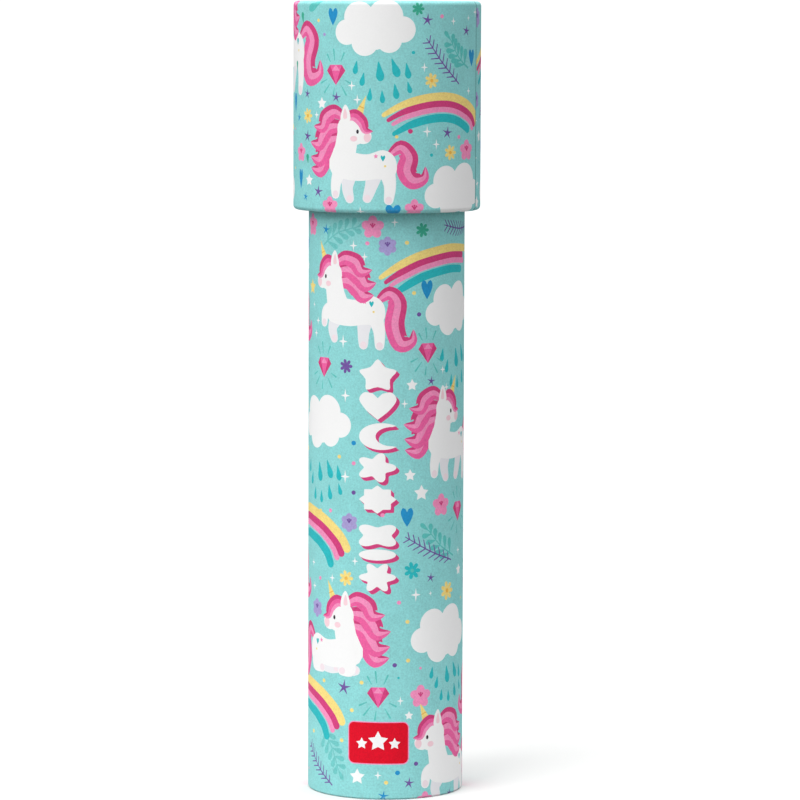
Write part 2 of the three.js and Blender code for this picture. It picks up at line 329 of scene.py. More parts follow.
def rainbow(path, thick=1.0, ends=ARCH_ENDS):
    """Yellow, magenta and rose bands side by side, and a teal one a little apart below."""
    line = through(path, closed=False, steps=8)
    drawn = []
    for (ink, below, width, first), last in zip(BANDS, ends):
        band = beside(line[first:len(line) - last], -below * thick)
        widths = np.array((1.1, 1.9, 2.0, 2.0, 1.8)) * width * thick
        drawn.append((ink, stroke([tuple(p) for p in band[::4]], widths)))
    return drawn


def gem():
    """A cut stone with short rays round it: (bearing, start, length) of each ray."""
    girdle, table, point = 1.0, 2.6, -2.9  # heights
    rays = [(118, 3.9, 2.2), (96, 3.8, 3.0), (66, 3.9, 2.4), (205, 3.4, 2.2), (232, 3.3, 3.0),
            (262, 3.9, 2.2), (300, 3.6, 2.8), (332, 3.4, 2.0)]
    drawn = []
    for bearing, start, length in rays:
        ray = turned([(start, 0), (start + length, 0)], bearing)
        drawn.append(("shade", stroke(ray, (0.22, 0.5), steps=2, cap=3)))
    drawn.append(("pink", [(-3, girdle), (0, point), (3, girdle), (1.9, table), (-1.9, table)]))
    drawn.append(("magenta", [(-3, girdle), (0, point), (-1.3, girdle)]))
    drawn.append(("magenta", [(1.3, girdle), (0, point), (3, girdle)]))
    drawn.append(("rose", [(-1.3, girdle), (1.3, girdle), (0, table)]))
    for side in (-1, 1):
        drawn.append(("magenta", [(side * 1.3, girdle), (side * 3, girdle), (side * 1.9, table)]))
    return drawn


def blossom(petal, heart, petals=5, size=2.5):
    """Round petals, a soft middle and three stamens."""
    drawn = []
    for i in range(petals):
        angle = 90 + 360 * i / petals
        x, y = turned([(size * 0.56, 0)], angle)[0]
        drawn.append((petal, oval(x, y, size * 0.5, size * 0.42, angle, count=18)))
    for angle in (55, 90, 125):
        drawn.append((heart, stroke(turned([(0, 0), (0.8, 0)], angle), (0.38, 0.3), steps=2, cap=3)))
        x, y = turned([(0.95, 0)], angle)[0]
        drawn.append((heart, oval(x, y, 0.26, count=8)))
    return drawn


def daisy(ink, middle, size=1.9):
    """Seven narrow petals round a small middle."""
    drawn = []
    for i in range(7):
        angle = 360 * i / 7
        x, y = turned([(size * 0.7, 0)], angle)[0]
        drawn.append((ink, oval(x, y, size * 0.36, size * 0.25, angle, count=14)))
    return drawn + [(ink, oval(0, 0, size * 0.55, count=14)), (middle, oval(0, 0, size * 0.24, count=12))]


def heart(ink="blue", width=3.0, height=4.2):
    w, h = width / 2, height
    right = [(0, 0), (w * 0.62, h * 0.34), (w, h * 0.72), (w * 0.72, h * 0.98), (w * 0.25, h * 0.94)]
    left = [(-x, y) for x, y in reversed(right[1:])]
    outline = through(right, False, 4) + [(0, h * 0.78)] + through(left, False, 4)
    return [(ink, moved(outline, 0, -h / 2))]


def star(ink="white", size=1.7):
    return [(ink, through(spiky(5, size, size * 0.52, 90), steps=2))]


def twinkle(size=1.5):
    return [("white", [(x * 0.78, y) for x, y in spiky(4, size, size * 0.24)])]


def asterisk(ink="purple", size=1.9):
    return [(ink, spiky(5, size, size * 0.27, 83))]


def dot(ink, radius=0.5):
    return [(ink, oval(0, 0, radius, radius * 0.93, count=14))]


def fir_sprig(length=17.0):
    """A thin stem with needles in pairs, along x from its tip."""
    drawn = [("purple", stroke([(0, 0), (length * 0.5, -0.7), (length, 0)], (0.25, 0.36, 0.42), cap=3))]
    pairs = 9
    for i in range(pairs):
        x = 1.0 + (length - 2.6) * i / (pairs - 1)
        y = -0.7 * math.sin(math.pi * x / length)
        reach = 1.5 + 1.1 * math.sin(math.pi * (i + 1.5) / (pairs + 2))
        for side in (-1, 1):
            needle = turned([(0, 0), (reach, 0)], side * 128)
            drawn.append(("purple", stroke(moved(needle, x + 0.4, y), (0.38, 0.28), steps=2, cap=3)))
    return drawn


def branch(length=13.0, ink="shade"):
    """A curved stem with leaves in pairs, tone on tone, along x."""
    drawn = [(ink, stroke([(0, 0), (length / 2, 0.9), (length, 0)], (0.5, 0.35, 0.25), cap=3))]
    for i in range(5):
        x = 1.6 + i * (length - 3.0) / 4
        y = 0.9 * math.sin(math.pi * x / length)
        for side in (-1, 1):
            drawn.append((ink, teardrop(4.4 - 0.35 * i, 1.5, side * 48, (x, y))))
    return drawn + [(ink, teardrop(3.4, 1.3, 0, (length - 0.2, 0)))]


def hair(points, widths, inks=("magenta", "rose", "pink")):
    """A lock of hair: a tapering stroke with three stripes, from its left side to its right."""
    left, middle, right = inks
    path = np.array(through(points, closed=False, steps=6))
    wide = np.interp(np.linspace(0, 1, len(path)), np.linspace(0, 1, len(widths)), widths)
    drawn = [(right, stroke(points, widths))]
    for ink, inner, outer in ((middle, -0.16, 0.2), (left, 0.19, 0.5)):
        edges = beside(path, outer * wide), beside(path, inner * wide)[::-1]
        drawn.append((ink, [tuple(point) for edge in edges for point in edge]))
    return drawn


PONY_LEGS = {
    "stand": {"far": [[(4.4, -2), (3.0, -7.0), (1.8, -10.6)], [(-4.0, -2), (-5.0, -7), (-4.2, -10.8)]],
              "near": [[(8.0, -1), (9.2, -6.4), (8.8, -11.2)], [(-7.4, -1.0), (-9.2, -5.6), (-9.4, -9.4)]]},
    "prance": {"far": [[(4.8, -2), (4.2, -7), (4.2, -11)], [(-5.2, -1.5), (-7.6, -5.6), (-6.8, -9.2)]],
               "near": [[(7.8, -1), (9.4, -6.2), (9.6, -11.2)], [(-7, 0.6), (-10.8, -0.6), (-11.6, -4.2)]]},
    "rest": {"far": [[(5.0, -3.4), (0.6, -5.0), (-2.4, -5.2)], [(-5.2, -3.6), (-8.6, -5.2), (-9.4, -5.4)]],
             "near": [[(7.2, -2.4), (8.4, -5.0), (4.2, -5.6)], [(-6.4, -2.6), (-7.6, -5.4), (-4.6, -5.8)]]},
}
PONY_BODY = [(-10.2, 0.6), (-8.8, 4.6), (-4.4, 4.4), (1.6, 3.6), (7.0, 5.0), (10.6, 2.8), (11.4, -1.4),
             (9.4, -4.4), (4.8, -4.4), (-0.4, -5.0), (-5.4, -4.6), (-9.4, -3.2)]
# locks of a mane, lowest first: (path, widths along it)
SHORT_MANE = [
    ([(-4.6, 9.6), (-0.6, 9.6), (2.4, 7.4), (4.2, 5.0), (7.4, 5.2)], (4.0, 6.2, 6.8, 5.2, 0.5)),
    ([(-5.0, 13.0), (-0.8, 13.4), (3.0, 11.2), (5.0, 8.6), (8.2, 9.2)], (3.6, 5.8, 6.6, 5.0, 0.5)),
    ([(-6.4, 15.2), (-2.6, 17.2), (1.4, 16.0), (3.4, 13.0), (6.8, 13.4)], (2.4, 4.8, 5.6, 4.4, 0.5)),
]
LONG_MANE = [
    ([(-3.6, 6.2), (0.6, 4.6), (2.0, 1.0), (3.8, -1.8), (7.6, -1.2)], (4.0, 5.8, 6.6, 5.2, 0.5)),
    ([(-4.4, 8.8), (-0.2, 7.6), (2.2, 4.2), (4.0, 1.6), (7.8, 2.4)], (4.0, 6.4, 7.0, 5.2, 0.5)),
    ([(-4.8, 12.6), (-0.4, 12.2), (2.6, 9.2), (4.2, 6.6), (8.0, 7.2)], (3.6, 5.6, 6.4, 4.8, 0.5)),
    ([(-6.4, 15.2), (-2.6, 17.2), (1.0, 15.4), (2.6, 12.2), (6.2, 12.4)], (2.4, 4.8, 5.4, 4.2, 0.5)),
]


def pony_head(mane):
    """Neck, head, ear, horn and mane of a plain little horse that faces left."""
    drawn = []
    for lock, widths in mane:
        drawn += hair(lock, widths)
    neck = stroke([(-5.2, 0.4), (-6.6, 5.4), (-7.4, 10.0)], (9.6, 7.8, 7.4))
    skull, muzzle = oval(-9.0, 11.4, 5.4, 4.9, 20, 32), oval(-12.8, 9.4, 2.8, 2.5)
    nostril, cheek = oval(-14.2, 9.0, 1.2, 1.5), oval(-9.6, 8.6, 1.2, 0.9)
    eye, horn = oval(-10.9, 10.9, 0.45, 0.7, count=14), [(-12.4, 14.3), (-9.0, 15.7), (-13.8, 22.6)]
    drawn += [("white", neck), ("white", skull), ("white", muzzle), ("blush", nostril), ("blush", cheek),
              ("dark", eye), ("yellow", horn)]
    for share in (0.2, 0.5):  # of the way up the horn
        ring = [(-12.4 - 1.4 * share, 14.3 + 8.3 * share), (-9.0 - 4.8 * share, 15.7 + 6.9 * share)]
        drawn.append(("amber", stroke(ring, (0.3, 0.3), steps=2, cap=2)))
    drawn += hair([(-6.2, 15.4), (-9.8, 16.2), (-12.4, 14.2), (-13.6, 11.4), (-15.8, 11.0)],
                  (2.2, 4.0, 3.8, 2.6, 0.4), ("rose", "pink", "magenta"))
    ear = [(-8.2, 14.4), (-8.0, 17.6), (-6.6, 19.6), (-5.4, 17.6), (-5.0, 14.4)]
    drawn.append(("white", through(ear)))
    inside = [(-7.2, 15.2), (-7.1, 17.0), (-6.5, 18.4), (-6.0, 17.0), (-5.9, 15.2)]
    drawn.append(("blush", through(inside, steps=3)))
    return drawn


TAIL = [(8.8, 3.2), (12.6, 5.8), (15.4, 2.6), (14.8, -2.8), (17.2, -7.2), (21.0, -6.4), (21.4, -3.0)]
TAIL_SWAY = (0, 0, 0, 0.5, 1, 1, 1)  # how much of a pony's sway each point of the tail takes


def pony(pose="stand", looking_back=False, sway=(0.0, 0.0)):
    """A plain little horse with a horn, facing left, or with its head turned to the right. sway is how
    far the end of its tail hangs from the usual place."""
    legs = PONY_LEGS[pose]
    tail = [(x + sway[0] * share, y + sway[1] * share) for (x, y), share in zip(TAIL, TAIL_SWAY)]
    drawn = hair(tail, (1.8, 4.8, 6.2, 6.6, 6.0, 3.6, 0.4))
    for ink, group in (("pearl", "far"), ("white", "near")):
        for leg in legs[group]:
            drawn.append(("pearl", stroke(leg, (5.8, 4.0, 3.1))))
            drawn.append((ink, stroke(leg, (5.4, 3.6, 2.9))))
            ankle = tuple(np.array(leg[-1]) * 0.98 + np.array(leg[-2]) * 0.02)
            toe = tuple(np.array(leg[-1]) * 1.06 - np.array(leg[-2]) * 0.06)
            drawn.append(("shell", stroke([ankle, toe], (2.2, 2.1), steps=2)))
        drawn.append(("white", through(PONY_BODY)))  # over the tops of these legs
    marks = [(star("rose", 0.8), 4.6, 3.0), (heart("deep", 1.5, 2.0), 6.9, 2.3),
             (dot("yellow", 0.4), 7.6, -0.2)]
    for mark, x, y in marks:
        drawn += [(ink, moved(outline, x, y)) for ink, outline in mark]
    front = pony_head(LONG_MANE if looking_back else SHORT_MANE)
    if looking_back:
        front = [(ink, [(-12.4 - x, y) for x, y in outline]) for ink, outline in front]
    return drawn + front


def moon(size=4.0):
    """A crescent that opens to the right."""
    outer = [(size * math.cos(a), size * math.sin(a)) for a in np.linspace(0.9, 5.4, 26)]
    hollow, shift = size * 0.72, size * 0.45
    inner = [(shift + hollow * math.cos(a), hollow * math.sin(a)) for a in np.linspace(4.75, 1.53, 18)]
    return outer + inner


def petals_outline(count, size=4.0):
    """A round shape whose edge swells into that many petals."""
    angles = np.linspace(0, 2 * math.pi, 60, endpoint=False)
    reach = [size * (0.8 + 0.2 * math.cos(count * a)) for a in angles]
    return [(r * math.cos(a), r * math.sin(a)) for r, a in zip(reach, angles)]


def chunky(outline, wide, tall):
    """A white shape of that size with a magenta shadow to the right and below."""
    fall, layers = 0.9, (4, 3, 2, 1)
    xs, ys = zip(*outline)
    grow_x, grow_y = wide / (max(xs) - min(xs)), tall / (max(ys) - min(ys))
    middle_x, middle_y = (max(xs) + min(xs)) / 2, (max(ys) + min(ys)) / 2
    sized = [((x - middle_x) * grow_x, (y - middle_y) * grow_y) for x, y in outline]
    shadow = [("magenta", moved(sized, fall * k / 4, -fall * k / 4)) for k in layers]
    return shadow + [("white", sized)]


def badge(wide=16.8, tall=11.4, corner=1.5, border=0.28):
    """A plain red label with a pale border and a row of stars."""
    def plate(grow):
        w, h, r = wide / 2 + grow, tall / 2 + grow, corner + grow
        points = []
        for quarter, (sx, sy) in enumerate(((1, 1), (-1, 1), (-1, -1), (1, -1))):
            for a in np.radians(np.linspace(90 * quarter, 90 * quarter + 90, 7)):
                points.append((sx * (w - r) + r * math.cos(a), sy * (h - r) + r * math.sin(a)))
        return points

    drawn = [("rose", plate(border)), ("red", plate(0.0))]
    for x, y, size in ((-4.6, -0.2, 1.7), (0, 0.5, 2.9), (4.6, -0.2, 1.7)):
        drawn += [(ink, moved(points, x, y)) for ink, points in star("white", size)]
    return drawn


# ---- a printed sheet ----

MERGE = 1e-5  # points of the flat sheet closer than this are joined


def within(spots, outline):
    """Which spots lie inside the outline, by its winding number, so that crossing strokes stay filled."""
    x, y = spots.T
    winding = np.zeros(len(spots), int)
    for (x1, y1), (x2, y2) in zip(outline, np.roll(outline, -1, axis=0)):
        side = (x2 - x1) * (y - y1) - (x - x1) * (y2 - y1)
        winding += (y1 <= y) & (y2 > y) & (side > 0)
        winding -= (y1 > y) & (y2 <= y) & (side < 0)
    return winding != 0


class Wrap:
    """Printed paper round a tube. It is drawn flat, x to the right from the front and y up the wall,
    in millimetres, and bent round the tube and over its ends when it is built."""

    CELL = 0.3

    def __init__(self, name, radius, wall, seam, columns, low, high, lower, upper):
        self.name, self.radius, self.wall, self.columns = name, radius, wall, columns
        self.girth = 2 * math.pi * radius
        self.right = seam / 360 * self.girth
        self.left = self.right - self.girth
        self.ends = {-1: (low, lower), 1: (high, upper)}  # end height and (edge radius, turn-in) or None
        self.flat = {side: end - side * (edge[0] if edge else 0) for side, (end, edge) in self.ends.items()}
        self.shapes = []
        turned_in = {side: sum(length for _, length in self.over(side)) for side in (-1, 1)}
        self.limits = [self.flat[side] + side * turned_in[side] for side in (-1, 1)]
        spans = (self.left, self.right), self.limits
        self.taken = np.zeros([int((b - a) / self.CELL) + 1 for a, b in spans], bool)

    def over(self, side):
        """What the paper does past the straight wall: (kind, length) of each stretch."""
        edge = self.ends[side][1]
        if not edge:
            return []
        outer, turn_in = edge
        return [("outer", outer * math.pi / 2), ("flat", self.wall - outer - EDGE_RADIUS),
                ("inner", EDGE_RADIUS * math.pi / 2), ("down", turn_in - EDGE_RADIUS)]

    def levels(self):
        """Heights at which the paper needs a row of vertices."""
        rows = [self.flat[-1], self.flat[1]]
        for side in (-1, 1):
            at = self.flat[side]
            for kind, length in self.over(side):
                steps = {"outer": 8, "inner": 5, "flat": 1, "down": 2}[kind]
                rows += [at + side * length * (k + 1) / steps for k in range(steps)]
                at += side * length
        return sorted(set(rows))

    def past_wall(self, y):
        """The end, -1 or 1, whose turned-in paper y can lie on, and how far y is past the straight wall."""
        side = 1 if y > self.flat[1] else -1
        return side, side * (y - self.flat[side]) if self.over(side) else 0.0

    def profile(self, y):
        """(radius, z, outward radial part, outward z part) of the paper's face at height y."""
        side, beyond = self.past_wall(y)
        if beyond <= 0:
            return self.radius, y, 1.0, 0.0
        end, (outer, _) = self.ends[side]
        lining = self.radius - self.wall
        for kind, length in self.over(side):
            if beyond <= length or kind == "down":
                break
            beyond -= length
        if kind == "outer":
            a = beyond / outer
            r, z = self.radius - outer * (1 - math.cos(a)), end - side * outer * (1 - math.sin(a))
            return r, z, math.cos(a), side * math.sin(a)
        if kind == "flat":
            return self.radius - outer - beyond, end, 0.0, side
        if kind == "inner":
            a = beyond / EDGE_RADIUS
            r, z = lining + EDGE_RADIUS * (1 - math.sin(a)), end - side * EDGE_RADIUS * (1 - math.cos(a))
            return r, z, -math.sin(a), side * math.cos(a)
        return lining, end - side * (EDGE_RADIUS + beyond), -1.0, 0.0

    def along(self, degrees):
        """Where that bearing lies on the flat sheet."""
        x = math.radians(degrees) * self.radius
        return x - self.girth * ((x > self.right) - (x < self.left))

    def put(self, motif, degrees, y, size=1.0, turn=0.0, flip=False):
        """Prints a motif with its middle at that bearing and height."""
        x0 = self.along(degrees)
        for ink, outline in motif:
            points = [(-x if flip else x, v) for x, v in outline]
            points = turned([(x * size, v * size) for x, v in points], turn)
            self.shapes.append((ink, moved(points, x0, y)))
            self.mark(self.shapes[-1][1])

    def put_rows(self, rows):
        """Prints rows of a motif and its places: (bearing, height), then size, turn and flip if need be."""
        for motif, *places in rows:
            for place in places:
                self.put(motif, *place)

    def mark(self, points):
        """Marks the cells under a shape as taken, column by column."""
        xs, ys = np.array(points).T
        next_xs, next_ys = np.roll(xs, -1), np.roll(ys, -1)
        for x in np.arange(xs.min(), xs.max() + self.CELL, self.CELL):
            crossing = (xs <= x) != (next_xs <= x)
            if not crossing.any():
                continue
            share = (x - xs[crossing]) / (next_xs[crossing] - xs[crossing])
            heights = ys[crossing] + share * (next_ys[crossing] - ys[crossing])
            i = int((x - self.left) / self.CELL)
            low, high = ((v - self.limits[0]) / self.CELL for v in (heights.min(), heights.max()))
            if 0 <= i < self.taken.shape[0]:
                self.taken[i, max(0, int(low)):max(0, int(high) + 1)] = True

    def free(self, x, y, radius):
        reach = int(radius / self.CELL) + 1
        i, j = int((x - self.left) / self.CELL), int((y - self.limits[0]) / self.CELL)
        return not self.taken[max(0, i - reach):i + reach + 1, max(0, j - reach):j + reach + 1].any()

    def settle(self, motif, tries, low, high, bearings, size):
        """Prints a large motif at a random place, if one of the tries finds plain ground for it."""
        margin = 1.08
        spots = np.array([point for _, outline in motif for point in outline]) * size * margin
        corner, counts = np.array((self.left, self.limits[0])), np.array(self.taken.shape)
        for _ in range(tries):
            degrees, y, flip = RNG.uniform(*bearings), RNG.uniform(low, high), RNG.random() < 0.5
            here = spots * (-1 if flip else 1, 1) + (self.along(degrees), y)
            cells = ((here - corner) / self.CELL).astype(int)
            cells[:, 1] = np.clip(cells[:, 1], 0, counts[1] - 1)
            if cells[:, 0].min() < 2 or cells[:, 0].max() > counts[0] - 3:
                continue
            if not self.taken[tuple(cells.T)].any():
                self.put(motif, degrees, y, size=size, flip=flip)
                return

    def seam_shadow_lines(self, edge=0.3, step_shadow=0.7):
        """Painted shade along the seam: a darker line at the overlap's cut edge and, beside it, a wider
        painted shadow of the step.
        """
        low, high = self.limits
        # a thin painted shade line at the cut edge, then the wider painted shadow of the step
        for start, end in ((self.right - edge, self.right), (self.left, self.left + step_shadow)):
            self.shapes.append(("seam", [(start, low), (end, low), (end, high), (start, high)]))

    def scatter(self, kinds, tries, low, high, bearings):
        """Fills gaps with small motifs. kinds lists (motif, room that it needs)."""
        for _ in range(tries):
            motif, room = RNG.choice(kinds)
            degrees, y = RNG.uniform(*bearings), RNG.uniform(low, high)
            if self.free(self.along(degrees), y, room):
                turn, size = RNG.uniform(-12, 12), RNG.uniform(0.85, 1.12)
                self.put(motif, degrees, y, size, turn)

    def lift(self, x, y):
        """How far the face stands out from the drawn profile: the overlapped end of the sheet, and
        the small pleats that the paper makes where it turns in over a rim."""
        overlap, ramp, step, pleat = 7.0, 1.5, 0.2, 0.03
        flap = step * min(1.0, max(0.0, (x - (self.right - overlap)) / ramp))
        side, beyond = self.past_wall(y)
        if beyond <= 0:
            return flap
        bend, across = (length for _, length in self.over(side)[:2])
        past = beyond - bend - across
        if past <= 0:
            return flap * max(0.0, 1 - beyond / bend)
        waves = math.sin(x * 2.3) * math.sin(x * 0.71 + side) + 0.5 * math.sin(x * 4.1 + 1.0)
        return pleat * min(1.0, past / ramp) * waves

    def cut(self, outlines, rim=()):
        """Cuts the flat sheet along its grid and the outlines: its corners' places, its triangles, and the
        rim points that each corner stands for. Anything past the sheet's edges is left out."""
        points, edges = [tuple(p) for p in rim], []

        def line(outline, closed=True):
            first, count = len(points), len(outline)
            points.extend(outline)
            last = count if closed else count - 1
            edges.extend((first + i, first + (i + 1) % count) for i in range(last))

        low, high = self.limits
        line([(self.left, low), (self.right, low), (self.right, high), (self.left, high)])
        for k in range(1, self.columns):
            x = self.left + self.girth * k / self.columns
            line([(x, low), (x, high)], closed=False)
        for y in self.levels()[1:-1]:
            line([(self.left, y), (self.right, y)], closed=False)
        for outline in outlines:
            line(outline)
        spots, traced = list(map(Vector, points)), len(rim) > 0
        flat, _, triangles, origins, *_ = delaunay_2d_cdt(spots, edges, [], 0, MERGE, traced)
        places, corners = np.array([tuple(v) for v in flat]), np.array(triangles)
        middles = places[corners].mean(axis=1)
        inside = ((middles > (self.left, low)) & (middles < (self.right, high))).all(axis=1)
        used, index = np.unique(corners[inside], return_inverse=True)
        stands_for = [[k for k in origins[i] if k < len(rim)] for i in used] if traced else None
        return places[used], index.reshape(-1, 3), stands_for

    def arrange(self):
        """The printed face, flat: its corners, its triangles and the ink of the last shape over each."""
        places, corners, _ = self.cut([outline for _, outline in self.shapes])
        middles = places[corners].mean(axis=1)
        inks = np.full(len(corners), "teal", dtype=object)
        for ink, outline in self.shapes:
            box = np.array(outline)
            near = np.flatnonzero(((middles > box.min(0)) & (middles < box.max(0))).all(axis=1))
            inks[near[within(middles[near], box)]] = ink
        return places, corners.tolist(), list(inks)

    def bend(self, x, y, depth):
        """Where a point of the flat sheet comes to lie, that deep in the paper, and the way out of it."""
        r, z, out_r, out_z = self.profile(y)
        bearing = x / self.radius
        around = Vector((math.sin(bearing), -math.cos(bearing), 0))
        normal = around * out_r + Vector((0, 0, out_z))
        return (around * r + Vector((0, 0, z)) + normal * (self.lift(x, y) - depth)) * MM, normal

    def build(self, materials, back):
        """The bent sheet as a closed mesh: printed face, plain back and, between their rims, cut edges."""
        printed, corners, inks = self.arrange()
        edges = dict.fromkeys((t[k - 1], t[k]) for t in corners for k in range(3))
        border = [(a, b) for a, b in edges if (b, a) not in edges]
        rim = sorted({a for a, _ in border})
        plain, plain_corners, origins = self.cut([], printed[rim])
        count = len(printed)
        bent = [self.bend(x, y, 0.0) for x, y in printed] + [self.bend(x, y, PAPER) for x, y in plain]
        twin = {rim[k]: count + new for new, group in enumerate(origins) for k in group}
        names = sorted(set(inks))
        faces = [tuple(t) for t in corners]
        loops = [bent[i][1] for t in corners for i in t]
        for a, b, c in (plain_corners + count).tolist():
            faces.append((c, b, a))
            loops += [-bent[c][1], -bent[b][1], -bent[a][1]]
        for a, b in border:
            faces.append((b, a, twin[a], twin[b]))
            along = bent[b][0] - bent[a][0]
            loops += [along.cross(bent[a][1]).normalized()] * 4
        slots = [names.index(ink) for ink in inks]
        slots += [len(names)] * (len(faces) - len(slots))
        places, finishes = [place for place, _ in bent], [materials[ink] for ink in names] + [back]
        return add_mesh(self.name, places, faces, loops, finishes, slots)


# ---- the two prints: bearings in degrees from the front, heights in millimetres ----

# small motifs that fill gaps, and the room that each needs
SMALL = [(blossom("rose", "magenta"), 3.6), (daisy("yellow", "amber"), 3.0),
         (blossom("lavender", "purple", 6, 2.2), 3.4), (heart(), 2.9), (star(), 2.5), (twinkle(1.7), 2.4),
         (asterisk(), 2.4), (gem(), 5.6)]
TINY = [(dot("yellow", 0.42), 2.2), (dot("rose", 0.4), 2.2), (dot("deep", 0.36), 2.2), (twinkle(0.9), 2.6)]


def fill_back(sheet, low, high, bearings):
    """The side that faces away: large motifs, then sprigs, wherever the ground is still plain."""
    large = [pony("prance"), rain_cloud(), pony("stand", True), rainbow(ARCH), pony("rest", True),
             rain_cloud(), pony("stand"), rainbow(FALL, 1.2, FALL_ENDS), pony("prance", True)]
    for motif in large + large:
        sheet.settle(motif, 120, low, high, bearings, 0.86)
    for _ in range(8):
        angle = RNG.uniform(-70, 70)
        for plant in (fir_sprig(14), branch(11)):
            leaning = [(ink, turned(outline, angle)) for ink, outline in plant]
            sheet.settle(leaning, 60, low, high, bearings, 0.95)


def column():
    """Eight chunky white shapes, one above the other: (outline, height, gap above) of each."""
    shapes = [(through(spiky(5, 4, 2.6), steps=3), 8.4, 0.0), (heart(width=8, height=8)[0][1], 7.6, 0.7),
              (moon(), 7.4, 0.9), (petals_outline(5), 8.0, 0.9),
              (through(spiky(8, 4, 3.1), steps=2), 7.8, 0.9), (turned(petals_outline(4), 45), 6.0, 3.1),
              (oval(0, 0, 4, 2.2), 3.1, 0.8), (petals_outline(6), 7.6, 0.9)]
    top, wide, bearing = 122.3, 10.4, -6
    rows = []
    for outline, tall, gap in shapes:
        top -= gap
        rows.append((chunky(outline, wide, tall), (bearing, top - tall / 2)))
        top -= tall
    return rows


# what is printed where the photo shows the head, and two motifs behind: a motif, then its places as
# (bearing, height), followed by size, turn and flip where they matter; later rows lie over earlier ones
HEAD_PRINT = [
    (branch(10.4), (57.5, 201.8, 1, 133)),
    (cloud(), (-8, 212.8, 0.96), (47.5, 168.4, 0.94)),
    (rain(), (-6, 199.4)),
    (pony("stand", True, (-0.4, 2.4)), (-15, 175.4, 0.84)),
    (pony("stand", sway=(-2.4, 0.0)), (-85.5, 206.6, 0.98)),
    (rainbow(ARCH), (34, 188.8)),
    (gem(), (-32.3, 200)),
    (fir_sprig(16.5), (24.5, 209.8, 1, -48)),
    ([("shade", teardrop(6.0, 2.3, 205))], (-43, 220)),
    (daisy("moss", "moss", 1.7), (19, 217.8)),
    (heart("blue", 3.0, 4.8), (-34.5, 215.6), (62, 204.5)),
    (heart("blue", 2.2, 5.6), (-65, 171.2), (-75, 192)),
    (heart("blue", 4.2, 4.4), (4, 162.6)),
    (asterisk(), (-32, 193.8, 0.85), (25, 214.8), (39.5, 184.2), (-46, 168), (-56.7, 183),
     (-57, 194.6, 0.8), (56, 211.9, 0.9)),
    (asterisk("blue", 1.4), (-58.8, 166.4), (-68, 188)),
    (twinkle(1.7), (44, 214.5, 0.7), (23, 202, 0.8), (-21.6, 197, 0.85), (25, 184.6), (58.5, 195.5, 0.7)),
    (twinkle(), (-18, 193.2), (-47.5, 188.9, 0.8), (31.3, 181.1), (-16, 162.8), (67, 217), (70, 177),
     (58, 215.4, 0.6)),
    (star(), (-43, 192.1), (-54.8, 171)),
    (daisy("yellow", "amber", 2.0), (28, 198.4), (-56.4, 188.6), (42, 178.8)),
    (blossom("rose", "magenta"), (56.7, 179.3, 1.12), (-65, 178.4), (-36.6, 164.2), (17, 163.5, 1.06)),
    (dot("yellow"), (-46, 214.6), (6, 183.2)),
    (dot("magenta", 0.7), (14.3, 184.7), (17, 178, 0.8)),
    (dot("rose", 0.6), (35, 215.8), (49.3, 183)),
    (dot("lavender"), (-41, 210.8)),
    (dot("deep"), (28, 178.2), (16, 206)),
    ([("moss", teardrop(2.6, 1.3, 100))], (-62, 213.8, 1.2), (-56, 175.6), (-71, 201)),
    (rainbow(ARCH), (-254.5, 202.5)),
    (blossom("lavender", "purple", 6, 2.6), (-288, 215.5)),
]


def print_head(sheet):
    sheet.put_rows(HEAD_PRINT)
    fill_back(sheet, HEAD_LOW + 6, HEAD_HIGH - 2, (-276.0, -100.0))
    for kinds in (SMALL, TINY):
        sheet.scatter(kinds, 900, HEAD_LOW - 3, HEAD_HIGH + 3, (-290.0, -86.0))
    sheet.scatter(TINY, 260, HEAD_LOW + 2, HEAD_HIGH - 2, (-86.0, 69.0))


